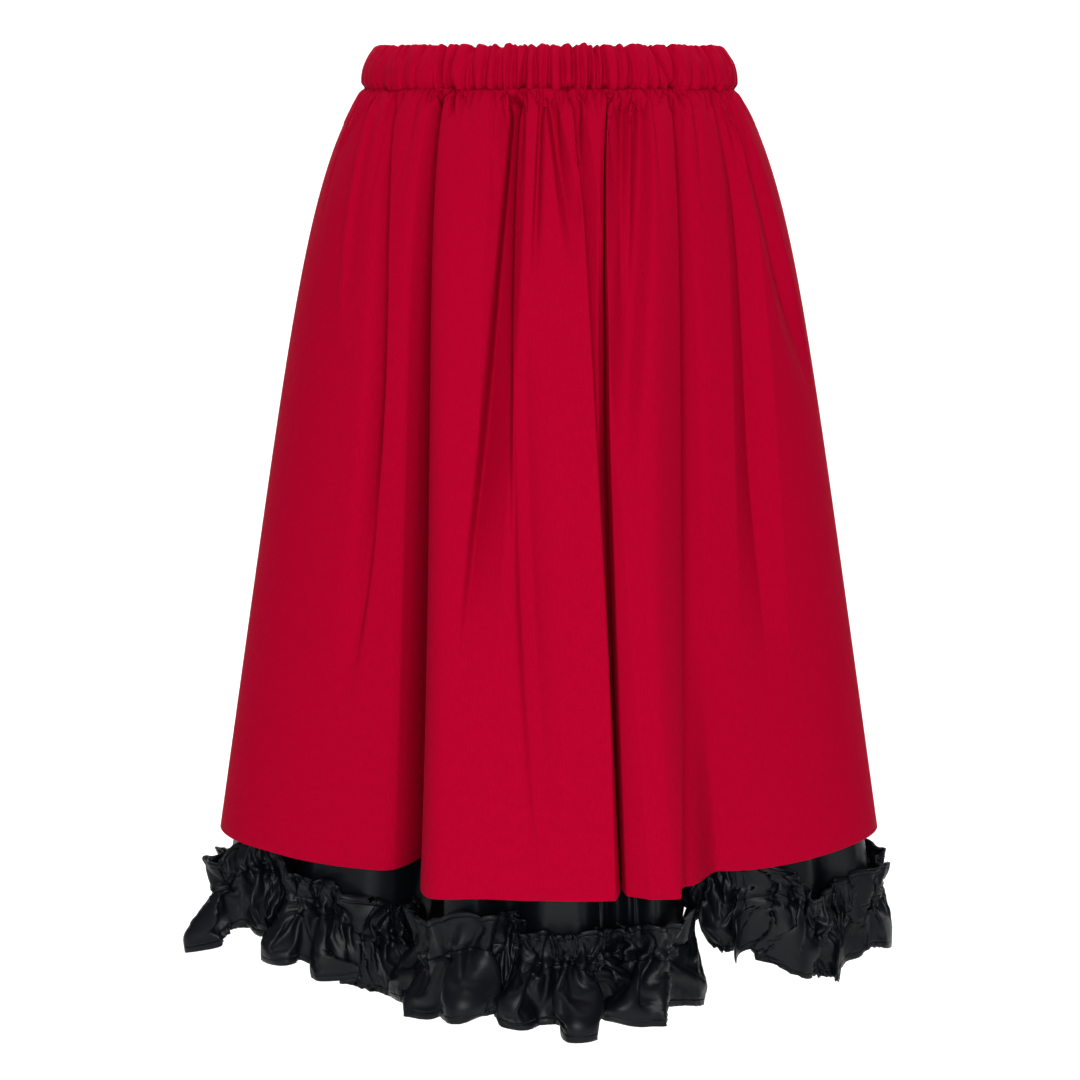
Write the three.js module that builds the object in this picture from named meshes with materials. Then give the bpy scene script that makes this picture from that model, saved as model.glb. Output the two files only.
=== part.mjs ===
// Gathered midi skirt with an elasticated waist casing, over an underskirt that ends in a headed
// ruffle. It keeps the round, filled-out form it has when worn, open at the waist and at the hem.
//
// Millimetres, +Z up. The front faces -Y and the wearer's left is +X. The origin is the middle of
// the waist seam, where the casing meets the skirt.
//
// A layer is a set of lines of cloth that hang from the waist seam. A line is named by its bearing
// at the hem: 0 is the middle of the front, 90 the wearer's left side, 180 the middle of the back.
// A place on a line is named by its length of cloth below the waist seam.

import * as THREE from "three";

// Lengths of cloth below the waist seam
const skirtLength = 576;
const gatherLength = 622; // down to the row of stitches that holds the ruffle
const underskirtLength = 632;

// Section through the cloth: half its width and depth at the waist seam, what each gains for every
// millimetre further down, and the quick swell over the hips with the length it takes
const sideToSide = { waist: 137, flare: 0.1533, swell: 28.2, reach: 69 };
const toTheFront = { waist: 98, flare: -0.02, swell: 22, reach: 60 };
const toTheBack = { waist: 100, flare: 0.03, swell: 28, reach: 60 };
const spreadAtWaist = 16; // degrees that the lines of cloth fan apart at the waist

// Walls and gaps
const skirtWall = 1.5;
const underskirtWall = 1.2;
const ruffleWall = 1.2;
const seamGap = 0.3;
const layerGap = 9; // how much further inside the skirt the underskirt hangs below the hips
const layerReach = 45; // length of cloth over which that gap opens

// Waist casing, from the seam up: its outline, its wall, and how deep its gathers dip there
const casingRows = [
  { height: 0.5 * seamGap, width: 137.2, depth: 98.2, wall: 3.2, gather: 0 },
  { height: 11, width: 136.8, depth: 98, wall: 4.4, gather: 1.2 },
  { height: 22, width: 132.8, depth: 95, wall: 4.8, gather: 1.4 },
  { height: 31, width: 126.6, depth: 90, wall: 3.6, gather: 0.8 },
];
const casingSteps = 36; // round each half of the casing, a gather at every other one

// Folds of the skirt, in the order of their bearings. Each is a trough:
//   at      bearing of its floor at the hem, degrees
//   lead    how far its top leans to one side of that line, degrees
//   from    share of the length where it starts
//   to      share of the length where it has died away, over 1 if it runs out at the hem
//   depth   of the floor at the hem
//   before  width of the slope down to the floor, at the hem
//   after   width of the slope up from it
//   rise    how much further out the cloth hangs after the floor than before it, at the hem
const skirtFolds = [
  { at: -66, lead: 0, from: 0, to: 0.5, depth: 7, before: 22, after: 18, rise: 0 },
  { at: -38, lead: 1, from: 0, to: 0.6, depth: 6, before: 16, after: 12, rise: 0 },
  { at: -22.4, lead: 1, from: 0.02, to: 2, depth: 12, before: 60, after: 30, rise: 74 },
  { at: -15, lead: 9, from: 0, to: 0.9, depth: 7, before: 18, after: 10, rise: 0 },
  { at: -5, lead: -3, from: 0, to: 0.9, depth: 6, before: 8, after: 14, rise: 0 },
  { at: 10.4, lead: 0, from: 0.02, to: 2, depth: 44, before: 9, after: 8, rise: 0 },
  { at: 27, lead: 1, from: 0, to: 2, depth: 8, before: 40, after: 60, rise: -74 },
  { at: 43, lead: 0, from: 0, to: 0.7, depth: 8, before: 18, after: 16, rise: 0 },
  { at: 62, lead: 0, from: 0, to: 0.5, depth: 6, before: 16, after: 14, rise: 0 },
  { at: 118, lead: 0, from: 0.02, to: 2, depth: 14, before: 44, after: 32, rise: 42 },
  { at: 140, lead: -2, from: 0, to: 0.8, depth: 9, before: 16, after: 18, rise: 0 },
  { at: 163, lead: 0, from: 0.02, to: 2, depth: 34, before: 12, after: 16, rise: 0 },
  { at: 188, lead: 2, from: 0, to: 0.9, depth: 10, before: 20, after: 14, rise: 0 },
  { at: 210, lead: 0, from: 0.05, to: 2, depth: 30, before: 18, after: 12, rise: 0 },
  { at: 241, lead: 0, from: 0.02, to: 2, depth: 12, before: 34, after: 48, rise: -42 },
];

// Folds of the underskirt, with the same columns, wide enough to pass behind the skirt's own
const underskirtFolds = [
  { at: -58, lead: 0, from: 0.45, to: 3, depth: 26, before: 44, after: 40, rise: 0 },
  { at: -22.4, lead: 0, from: 0.02, to: 3, depth: 16, before: 60, after: 52, rise: 66 },
  { at: -6, lead: 0, from: 0.6, to: 3, depth: 20, before: 22, after: 24, rise: 0 },
  { at: 10.4, lead: 0, from: 0.02, to: 3, depth: 46, before: 30, after: 28, rise: 0 },
  { at: 27, lead: 0, from: 0, to: 3, depth: 24, before: 58, after: 60, rise: -66 },
  { at: 43, lead: 0, from: 0, to: 0.9, depth: 6, before: 26, after: 24, rise: 0 },
  { at: 62, lead: 0, from: 0.55, to: 3, depth: 16, before: 30, after: 30, rise: 0 },
  { at: 118, lead: 0, from: 0.02, to: 3, depth: 18, before: 48, after: 48, rise: 36 },
  { at: 140, lead: 0, from: 0.5, to: 3, depth: 20, before: 24, after: 24, rise: 0 },
  { at: 163, lead: 0, from: 0.02, to: 3, depth: 40, before: 34, after: 34, rise: 0 },
  { at: 188, lead: 0, from: 0, to: 3, depth: 18, before: 26, after: 26, rise: 0 },
  { at: 210, lead: 0, from: 0.02, to: 3, depth: 36, before: 36, after: 34, rise: 0 },
  { at: 241, lead: 0, from: 0.02, to: 3, depth: 18, before: 50, after: 48, rise: -36 },
];
const foldGrowth = 0.35; // share of the length over which a fold reaches its depth
const foldFade = 0.35; // share of the length over which it dies away
const narrowAtWaist = 0.35; // width of a fold at the waist, as a share of its width at the hem

// Rows of points down each layer, as lengths of cloth below the waist seam
const skirtRows = [0, 14, 34, 62, 105, 175, 265, 370, 475, skirtLength];
const underskirtRows = [0, 34, 105, 265, 475, gatherLength, underskirtLength];

// Ruffle, a row at a time: its length below the stitches that hold it, and how far out of the
// underskirt its troughs and its crests stand
const ruffleRows = [
  { below: -26, trough: 4, crest: 12 },
  { below: -12, trough: 1.5, crest: 5 },
  { below: 0, trough: 0, crest: 0 },
  { below: 20, trough: 4, crest: 11 },
  { below: 42, trough: 8, crest: 22 },
];
const stationsPerFlute = 3;

// How the lines of points are spread round a layer
const stationsInFold = [-1, -0.55, -0.2, 0, 0.2, 0.55, 1]; // as shares of the fold's slopes
const closestStations = 1.7; // degrees
const widestStations = 7.5;
const hangStep = 6; // length of the steps in which a line of cloth is followed down
const sharpestMitre = 0.6; // cosine that limits how far a corner of the inner face is moved

const redWool = { color: 0xb4042a, roughness: 0.78, metalness: 0 };
const redCasing = { color: 0xa8042a, roughness: 0.8, metalness: 0 };
const blackSatin = { color: 0x141518, roughness: 0.42, metalness: 0 };
const blackRuffle = { color: 0x1b1c1f, roughness: 0.38, metalness: 0 };

const { clamp, degToRad, lerp, smoothstep } = THREE.MathUtils;
const ease = (x) => smoothstep(x, 0, 1);
const sizeAt = (law, length) =>
  law.waist + law.flare * length + law.swell * (1 - Math.exp(-length / law.reach));
const depthAt = (bearing, length) => sizeAt(Math.cos(bearing) > 0 ? toTheFront : toTheBack, length);

// Share of the way from a line's bearing at the waist to its bearing at the hem. A line of cloth
// keeps its distance from the middle of the front while the skirt widens, so it falls straight down.
function fanShare(length) {
  const atWaist = 1 / sizeAt(sideToSide, 0);
  const atHem = 1 / sizeAt(sideToSide, skirtLength);
  return (atWaist - 1 / sizeAt(sideToSide, length)) / (atWaist - atHem);
}

// Bearing, in radians, of a line of cloth at this length
function bearingAt(atHem, lead, length) {
  const atWaist = atHem + spreadAtWaist * Math.sin(2 * degToRad(atHem)) + lead;
  return degToRad(lerp(atWaist, atHem, fanShare(length)));
}

// Length of cloth round the plain section for each radian of bearing
function reachAt(bearing, length) {
  const across = sizeAt(sideToSide, length) * Math.cos(bearing);
  return Math.hypot(across, depthAt(bearing, length) * Math.sin(bearing));
}

// How far the folds move the cloth out of the plain section
function foldOffset(folds, bearing, length) {
  const share = length / skirtLength;
  const width = lerp(narrowAtWaist, 1, fanShare(length));
  let offset = 0;
  for (const fold of folds) {
    const floor = bearingAt(fold.at, fold.lead, length);
    const away = ((bearing - floor) * reachAt(floor, length)) / width;
    const grown = ease((share - fold.from) / foldGrowth) * (1 - ease((share - fold.to) / foldFade + 1));
    const trough = away < 0 ? ease(1 + away / fold.before) : ease(1 - away / fold.after);
    const roundShoulder = 1 - (1 - clamp(away / fold.after, 0, 1)) ** 3;
    const risen = fold.rise > 0 ? roundShoulder : ease(1 + away / fold.before);
    offset += fold.rise * Math.min(share, 1) * risen - fold.depth * grown * trough;
  }
  return offset;
}

// Point in plan where the line of cloth with this bearing lies at this length
function planPoint(folds, inset, atHem, length) {
  const bearing = bearingAt(atHem, 0, length);
  const width = sizeAt(sideToSide, length);
  const depth = depthAt(bearing, length);
  const point = new THREE.Vector2(width * Math.sin(bearing), -depth * Math.cos(bearing));
  const outward = new THREE.Vector2(point.x / width ** 2, point.y / depth ** 2).normalize();
  return point.addScaledVector(outward, foldOffset(folds, bearing, length) - inset(length));
}

// One line of cloth, followed down in short steps: whatever a step moves in or out is lost from
// the height it falls. Gives its points at the lengths asked for, in rising order.
function hangLine(folds, inset, atHem, lengths) {
  const points = [];
  let height = -0.5 * seamGap;
  let length = 0;
  let here = planPoint(folds, inset, atHem, 0);
  for (const target of lengths) {
    const steps = Math.ceil((target - length) / hangStep);
    const step = steps > 0 ? (target - length) / steps : 0;
    for (let i = 0; i < steps; i += 1) {
      length += step;
      const next = planPoint(folds, inset, atHem, length);
      height -= Math.sqrt(Math.max(step ** 2 - next.distanceToSquared(here), 0));
      here = next;
    }
    points.push(new THREE.Vector3(here.x, here.y, height));
  }
  return points;
}

// Bearings for the lines of points round half of any layer: some on every fold of the skirt, the
// rest spread evenly
function stationsOf(from, to) {
  const marks = [from, to];
  for (const fold of skirtFolds) {
    const perDegree = degToRad(reachAt(degToRad(fold.at), skirtLength));
    for (const share of stationsInFold) {
      const slope = share < 0 ? fold.before : fold.after;
      marks.push(fold.at + (share * slope) / perDegree);
    }
  }
  marks.sort((a, b) => a - b);
  const stations = [from];
  for (const mark of marks) {
    const last = stations[stations.length - 1];
    const room = Math.min(mark - last, to - mark);
    if (mark === to || room >= closestStations) {
      const parts = Math.ceil((mark - last) / widestStations);
      for (let i = 1; i <= parts; i += 1) {
        stations.push(lerp(last, mark, i / parts));
      }
    }
  }
  return stations;
}

// Direction out of the cloth in plan at each point of a row, stretched at corners so that a wall
// keeps its thickness. The two ends, at the side seams, face straight out sideways.
function outwardRow(row) {
  const edge = (i) => new THREE.Vector2(row[i + 1].y - row[i].y, row[i].x - row[i + 1].x).normalize();
  return row.map((point, i) => {
    if (i === 0 || i === row.length - 1) {
      return new THREE.Vector2(Math.sign(point.x), 0);
    }
    const before = edge(i - 1);
    const middle = before.clone().add(edge(i)).normalize();
    return middle.divideScalar(Math.max(middle.dot(before), sharpestMitre));
  });
}

const moved = (row, distance) => {
  const outward = outwardRow(row);
  return row.map((point, i) => {
    const by = distance(i);
    return new THREE.Vector3(point.x + outward[i].x * by, point.y + outward[i].y * by, point.z);
  });
};

// Closes a wall of cloth: rows of outer points from top to bottom, and the wall's thickness
function wallGeometry(outer, wallOf) {
  const inner = outer.map((row, i) => moved(row, () => -wallOf(i)));
  const rows = outer.length;
  const columns = outer[0].length;
  const positions = [...outer, ...inner].flat().flatMap((point) => point.toArray());
  const index = [];
  const at = (side, row, column) => (side * rows + row) * columns + column;
  const quad = (a, b, c, d) => index.push(a, b, c, a, c, d);
  for (let r = 0; r < rows - 1; r += 1) {
    for (let c = 0; c < columns - 1; c += 1) {
      quad(at(0, r, c), at(0, r + 1, c), at(0, r + 1, c + 1), at(0, r, c + 1));
      quad(at(1, r, c), at(1, r, c + 1), at(1, r + 1, c + 1), at(1, r + 1, c));
    }
    const last = columns - 1;
    quad(at(0, r, 0), at(1, r, 0), at(1, r + 1, 0), at(0, r + 1, 0));
    quad(at(0, r, last), at(0, r + 1, last), at(1, r + 1, last), at(1, r, last));
  }
  for (let c = 0; c < columns - 1; c += 1) {
    const bottom = rows - 1;
    quad(at(0, 0, c), at(0, 0, c + 1), at(1, 0, c + 1), at(1, 0, c));
    quad(at(0, bottom, c), at(1, bottom, c), at(1, bottom, c + 1), at(0, bottom, c + 1));
  }
  const geometry = new THREE.BufferGeometry();
  geometry.setAttribute("position", new THREE.Float32BufferAttribute(positions, 3));
  geometry.setIndex(index);
  geometry.computeVertexNormals();
  return geometry;
}

// The front half runs from -90 to 90 and the back half from 90 to 270. Each half stops short of
// the side seam by half the seam's gap.
const halves = [
  { name: "front", from: -90, to: 90, side: -1 },
  { name: "back", from: 90, to: 270, side: 1 },
];

function openSeam(row, half) {
  row[0].y = half.side * 0.5 * seamGap;
  row[row.length - 1].y = half.side * 0.5 * seamGap;
  return row;
}

// Rows of points round half a layer at these lengths
function layerRows(folds, inset, stations, lengths, half) {
  const lines = stations.map((atHem) => hangLine(folds, inset, atHem, lengths));
  return lengths.map((_, row) => openSeam(lines.map((line) => line[row].clone()), half));
}

const skirtInset = () => 0;
const underskirtInset = (length) =>
  skirtWall + seamGap + layerGap * (1 - Math.exp(-length / layerReach));

function skirtPanel(half) {
  const stations = stationsOf(half.from, half.to);
  const rows = layerRows(skirtFolds, skirtInset, stations, skirtRows, half);
  return wallGeometry(rows, () => skirtWall);
}

function underskirtPanel(half) {
  const stations = stationsOf(half.from, half.to);
  const rows = layerRows(underskirtFolds, underskirtInset, stations, underskirtRows, half);
  return wallGeometry(rows, () => underskirtWall);
}

// The ruffle is made from the underskirt's own points, moved out: fluted above and below the
// stitches, and flat against the underskirt along them
function rufflePanel(half) {
  const stations = stationsOf(half.from, half.to);
  const lengths = ruffleRows.map((row) => gatherLength + row.below);
  const under = layerRows(underskirtFolds, underskirtInset, stations, lengths, half);
  const rows = under.map((row, i) => {
    const { trough, crest } = ruffleRows[i];
    const flute = (station) => (station % stationsPerFlute === 0 ? crest : trough);
    return openSeam(moved(row, (station) => seamGap + ruffleWall + flute(station)), half);
  });
  return wallGeometry(rows, () => ruffleWall);
}

function casingPanel(half) {
  const rows = casingRows.map((row) => {
    const points = Array.from({ length: casingSteps + 1 }, (_, i) => {
      const bearing = degToRad(lerp(half.from, half.to, i / casingSteps));
      const dip = i % 2 === 1 ? row.gather : 0;
      const x = (row.width - dip) * Math.sin(bearing);
      const y = -(row.depth - dip) * Math.cos(bearing);
      return new THREE.Vector3(x, y, row.height);
    });
    return openSeam(points, half);
  });
  rows.reverse();
  return wallGeometry(rows, (row) => casingRows[casingRows.length - 1 - row].wall);
}

const layers = [
  { name: "waistband", make: casingPanel, cloth: redCasing },
  { name: "skirt", make: skirtPanel, cloth: redWool },
  { name: "underskirt", make: underskirtPanel, cloth: blackSatin },
  { name: "ruffle", make: rufflePanel, cloth: blackRuffle },
];

const garment = new THREE.Group();
for (const layer of layers) {
  for (const half of halves) {
    const material = new THREE.MeshStandardMaterial(layer.cloth);
    const panel = new THREE.Mesh(layer.make(half), material);
    panel.name = `${layer.name}_${half.name}`;
    garment.add(panel);
  }
}

export default garment;
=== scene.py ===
import math

import bpy
import numpy as np
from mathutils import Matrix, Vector


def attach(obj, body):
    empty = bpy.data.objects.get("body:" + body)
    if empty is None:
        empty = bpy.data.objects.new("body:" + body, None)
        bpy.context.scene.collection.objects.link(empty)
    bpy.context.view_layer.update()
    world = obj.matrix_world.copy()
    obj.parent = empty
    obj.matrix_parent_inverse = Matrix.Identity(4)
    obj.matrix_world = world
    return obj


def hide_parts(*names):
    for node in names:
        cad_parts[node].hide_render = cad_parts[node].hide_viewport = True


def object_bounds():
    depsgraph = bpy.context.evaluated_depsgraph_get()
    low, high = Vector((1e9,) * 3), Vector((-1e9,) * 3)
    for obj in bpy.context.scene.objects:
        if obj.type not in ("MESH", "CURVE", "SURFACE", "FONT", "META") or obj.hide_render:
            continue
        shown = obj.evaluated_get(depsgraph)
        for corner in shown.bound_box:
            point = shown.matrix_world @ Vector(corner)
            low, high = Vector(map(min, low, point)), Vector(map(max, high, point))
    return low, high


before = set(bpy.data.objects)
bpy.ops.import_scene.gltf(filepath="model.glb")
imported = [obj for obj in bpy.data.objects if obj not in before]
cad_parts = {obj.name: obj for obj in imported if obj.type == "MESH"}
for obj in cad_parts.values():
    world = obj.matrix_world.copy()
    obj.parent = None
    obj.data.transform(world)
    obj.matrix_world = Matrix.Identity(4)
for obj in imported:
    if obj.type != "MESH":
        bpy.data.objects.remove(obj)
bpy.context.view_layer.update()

mm = 0.001  # everything below is worked out in millimetres and put into the meshes in metres

# Gathered skirt over an underskirt with a headed ruffle. +Z is up, the front faces -Y and the origin
# is the middle of the waist seam. A line of cloth hangs from the waist seam: it is named by its
# bearing at the hem (0 front middle, 90 the wearer's left side, 180 back middle), and a place on it
# by the length of cloth from the seam down to it.

cloth = dict(
    skirtLength=576,  # seam to the lower edge of the skirt, which the shares of the length refer to
    hemLength=572,  # seam to where the hem starts to roll under
    gatherLength=622,  # seam to the row of stitches that holds the ruffle
    underLength=632,  # seam to the underskirt's own edge, behind the ruffle
    seamGap=0.3,  # between two pieces that are sewn together
)

# Plain oval section through the cloth: half width at the seam, gain per mm further down, swell over
# the hips and the length in which it comes
sideToSide = dict(waist=137, flare=0.1533, swell=28.2, reach=69)
toTheFront = dict(waist=98, flare=-0.02, swell=22, reach=60)
toTheBack = dict(waist=100, flare=0.03, swell=28, reach=60)
section = dict(
    spreadAtWaist=16,  # degrees that the lines crowd towards the sides at the waist
    foldStops=(0, 70, 290, cloth["skirtLength"]),  # lengths at which the folds' bearings are given
    foldGrowth=0.03, foldFade=0.5,  # shares of the length in which a fold comes and goes
    narrowAtWaist=0.35,  # width of a fold at the seam as a share of its width at the hem
    leanFade=16,  # mm beyond the steep edge in which its lean is gone
)

# bearings of the two side seams, and which way the panel lies from them in y
halves = dict(front=(-90, 90, -1), back=(90, 270, 1))
everyBearing = np.linspace(-90, 270, 7201)  # all round, from the wearer's right side seam
fineColumns = 3001  # bearings worked out before columns are spaced evenly from them


def asTable(columns, rows):
    # each row becomes a dictionary with the columns' names; a row may leave out rise and shoulder
    return [dict(zip(columns.split(), row + (0, 1))) for row in rows]


# Folds as troughs in the oval. seam, hip, thigh, hem: bearing of the floor at the waist seam, 70 mm
# and 290 mm down and at the hem. top, deep: depth at the seam and at the hem, below 0 for a ridge.
# start, end: shares of the length where it begins and has died away. before, after: width of the
# slopes on either side at the hem. lean: how far the steeper edge hangs over the floor, + for the
# edge after it. form: 0 pinched to a crease, 1 round, 2 straight slopes. rise: how much further
# out the cloth hangs after the floor than before it, over the width shoulder.
foldColumns = "seam hip thigh hem top deep start end before after lean form rise shoulder"
skirtFolds = asTable(foldColumns, [
    (-56.6, -77, -98, -118, -2.5, 0, 0, 0.12, 6, 12, 0, 0),
    (-62, -57, -50, -46, -3.5, -2, 0, 0.34, 10, 16, 0, 0),
    (-52.5, -43.1, -36.1, -45.5, 12, 20, 0, 0.8, 34, 4, 2.5, 0),
    (-33.6, -28.6, -23.1, -20.4, 14, 44, 0, 2, 44, 4, 2.5, 0),
    (-33.6, -28.6, -23.1, -20.4, 1, 48, 0, 1.2, 28, 4, 0, 2),
    (-33.6, -28.6, -23.1, -20.4, 0, 0, 0, 2, 1, 1, 0, 0, 74, 40),
    (-12.4, -10.7, -13, -15.2, 16, 42, 0, 0.74, 4, 24, -2.5, 2),
    (-10.3, -8.9, -7, -3, 13, 20, 0, 0.64, 26, 4, 0, 2),
    (-2.6, -3.2, -4, -4, 8, 4, 0, 0.26, 4, 14, -1, 0),
    (-2.6, 3, 10, 18, 11, 6, 0, 0.24, 8, 14, 0, 2),
    (-8, -7, -5.4, -0.5, 0, 14, 0.3, 1.05, 9, 40, 0, 0),
    (5.8, 7.5, 9, 10.7, 9, 14, 0, 2, 4, 17, -3, 2),
    (20.2, 13.4, 11, 11, 12, 0, 0, 2, 3, 3, 1.2, 2),
    (20.2, 13.4, 11, 11, 0, 44, 0, 2, 9, 3, 1.8, 2),
    (25.5, 17.5, 13, 12, 12, 0, 0, 0.34, 20, 8, 0, 2),
    (28.5, 22, 12.5, 11, 10, 14, 0, 0.6, 20, 16, 0, 1),
    (41.8, 32, 25.3, 19.3, 12, 22, 0, 1.5, 4, 36, -2.5, 0),
    (41, 36.6, 30.6, 30, 0, 0, 0, 2, 1, 1, 0, 0, -74, 50),
    (61, 54.5, 46.8, 42, 7, 26, 0, 0.8, 24, 22, 0, 2),
    (67.6, 61.2, 73, 100, -3, 0, 0, 0.14, 8, 8, 0, 0),
    (62, 67, 80, 115, 4, 32, 0, 0.42, 28, 16, 0, 2),
    (104.7, 109.5, 115, 118, 11, 30, 0, 2, 32, 4, 4, 0),
    (104.7, 109.5, 115, 118, 0, 0, 0, 2, 1, 1, 0, 0, 42, 44),
    (122, 129, 136, 140, 12, 18, 0, 0.85, 5, 28, -4, 0),
    (140, 146, 149, 150, 6, 5, 0, 0.32, 20, 18, 0, 1),
    (154, 157, 161, 163, 12, 34, 0, 2, 14, 4, 4, 0),
    (169, 172, 174, 172, 12, 14, 0, 0.62, 5, 27, -3, 0),
    (194, 192, 189.5, 188, 11, 20, 0, 0.98, 28, 4, 4, 0),
    (209, 203, 200, 201, 6, 5, 0, 0.34, 18, 22, 0, 1),
    (224, 219, 213, 210, 11, 30, 0, 2, 4, 16, -4, 0),
    (238, 232, 229, 226, 11, 14, 0, 0.58, 27, 4, 3, 0),
    (254.6, 249.7, 244, 241, 11, 30, 0, 2, 4, 32, -4, 0),
    (254.6, 249.7, 244, 241, 0, 0, 0, 2, 1, 1, 0, 0, -42, 48),
])
underFolds = asTable(foldColumns, [
    (-72, -67, -62, -58, 0, 26, 0.3, 3, 44, 40, 0, 1),
    (-33.8, -29, -23.4, -21.4, 4, 26, 0, 3, 52, 46, 0, 1, 66, 52),
    (-9, -8, -7, -6, 0, 20, 0.4, 3, 22, 24, 0, 1),
    (16.5, 13.6, 12, 11, 4, 46, 0, 3, 30, 28, 0, 1),
    (40, 35, 30, 27, 2, 24, 0, 3, 58, 60, 0, 1, -66, 58),
    (77, 71, 66, 62, 0, 16, 0.3, 3, 30, 30, 0, 1),
    (104.7, 109.5, 115, 118, 3, 18, 0, 3, 48, 48, 0, 1, 36, 48),
    (124, 129, 136, 140, 0, 20, 0.3, 3, 24, 24, 0, 1),
    (154, 157, 161, 163, 4, 40, 0, 3, 34, 34, 0, 1),
    (192, 191, 189, 188, 2, 18, 0, 3, 26, 26, 0, 1),
    (224, 219, 213, 210, 4, 36, 0, 3, 36, 34, 0, 1),
    (254.6, 249.7, 244, 241, 3, 18, 0, 3, 50, 48, 0, 1, -36, 50),
])


def ease(x):
    # 0 below 0, 1 above 1, and 3 x^2 - 2 x^3 between
    x = np.clip(x, 0, 1)
    return x * x * (3 - 2 * x)


def sizeAt(law, length):
    # waist size, plus a steady flare, plus a swell that levels off
    return law["waist"] + law["flare"] * length + law["swell"] * (1 - np.exp(-length / law["reach"]))


def fanShare(length):
    # 0 at the waist, 1 at the hem, following one over the width, so that lines fall straight down
    atWaist, atHem = 1 / sizeAt(sideToSide, 0), 1 / sizeAt(sideToSide, cloth["skirtLength"])
    return (atWaist - 1 / sizeAt(sideToSide, length)) / (atWaist - atHem)


def bearingAt(atHem, length):
    # bearing at the hem, fanned out at the waist by the spread times the sine of twice the bearing
    share = fanShare(length)
    atWaist = atHem + section["spreadAtWaist"] * np.sin(2 * np.radians(atHem))
    return np.radians(atWaist * (1 - share) + atHem * share)


def depthAt(bearing, length):
    # half depth of the oval, its front one or its back one
    return np.where(np.cos(bearing) > 0, sizeAt(toTheFront, length), sizeAt(toTheBack, length))


def reachAt(bearing, length):
    # length of cloth round the plain section for a radian of bearing
    across = sizeAt(sideToSide, length) * np.cos(bearing)
    return np.hypot(across, depthAt(bearing, length) * np.sin(bearing))


def outwards(x, y, width, depth):
    # unit normal of the oval: x over the width squared and y over the depth squared, made 1 long
    nx, ny = x / width**2, y / depth**2
    size = np.hypot(nx, ny)
    return nx / size, ny / size


def floorAt(fold, share):
    # cubic through the four bearings, over the square root of the share of the length
    t = np.sqrt(share)
    places = np.sqrt(np.array(section["foldStops"]) / cloth["skirtLength"])
    floor = 0
    for i, name in enumerate(("seam", "hip", "thigh", "hem")):
        others = np.delete(places, i)
        weight = np.prod([(t - p) / (places[i] - p) for p in others], axis=0)
        floor = floor + weight * fold[name]
    return np.radians(floor)


def foldOffset(folds, bearing, length):
    # out = rises, less depth times a trough, which follows how near the floor is, 0 at the end of a
    # slope and 1 on the floor: 1.25 times that, cubed and cut off at 1, or eased, or as it is.
    # aside = the steeper edge of a trough moved over its floor by its lean
    share = length / cloth["skirtLength"]
    width = section["narrowAtWaist"] + (1 - section["narrowAtWaist"]) * fanShare(length)
    out, aside = np.zeros_like(bearing), np.zeros_like(bearing)
    for f in folds:
        floor = floorAt(f, share)
        away = (bearing - floor) * reachAt(floor, length) / width
        grown = ease((share - f["start"]) / section["foldGrowth"])
        grown = grown * (1 - ease((share - f["end"]) / section["foldFade"] / f["end"] + 1))
        near = 1 - np.clip(np.where(away < 0, -away / f["before"], away / f["after"]), 0, 1)
        trough = (np.minimum(1, 1.25 * near)**3, ease(near), near)[f["form"]]
        depth = f["top"] + (f["deep"] - f["top"]) * np.minimum(share, 1)
        if f["rise"] > 0:
            risen = 1 - (1 - np.clip(away / f["shoulder"], 0, 1)) ** 7
        else:
            risen = ease(1 + away / f["shoulder"])
        out += f["rise"] * np.minimum(share, 1) * risen - depth * grown * trough
        if f["lean"]:
            side = math.copysign(1, f["lean"])
            slope = f["after"] if side > 0 else f["before"]
            past = side * away
            window = np.where(past < 0.8 * slope, ease(past / (0.8 * slope)),
                              1 - ease((past - 0.8 * slope) / section["leanFade"]))
            aside -= f["lean"] * grown * window * width
    return out, aside


def shareOut(values, atHem, reach=7):
    # running mean over the bearings within that reach, for each row
    step = 0.25
    grid = np.arange(atHem[0], atHem[-1] + step, step)
    window = int(reach / step)
    size = 2 * window + 1
    rows = []
    for row in values:
        padded = np.pad(np.interp(grid, atHem, row), window, mode="edge")
        total = np.concatenate([[0], np.cumsum(padded)])
        rows.append(np.interp(atHem, grid, (total[size:] - total[:-size]) / size))
    return np.stack(rows)


def hang(folds, atHem, lengths, inset):
    # plan = oval of that length's size, moved out along its normal by the folds and in by the inset;
    # height = what is left of each step of cloth after what it moves in plan, evened out between
    # neighbouring lines, which hold each other up
    length, mine = np.meshgrid(lengths, atHem, indexing="ij")
    bearing = bearingAt(mine, length)
    width, depth = sizeAt(sideToSide, length), depthAt(bearing, length)
    x, y = width * np.sin(bearing), -depth * np.cos(bearing)
    nx, ny = outwards(x, y, width, depth)
    out, aside = foldOffset(folds, bearing, length)
    out = out - inset(length)
    x, y = x + nx * out, y + ny * out
    step = np.diff(length, axis=0)
    fall = np.sqrt(np.maximum(step**2 - np.diff(x, axis=0)**2 - np.diff(y, axis=0)**2, 0))
    fall = shareOut(shareOut(fall, atHem), atHem)
    z = -0.5 * cloth["seamGap"] - np.concatenate([0 * fall[:1], np.cumsum(fall, axis=0)])
    return np.stack([x - ny * aside, y + nx * aside, z], axis=-1)


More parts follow.
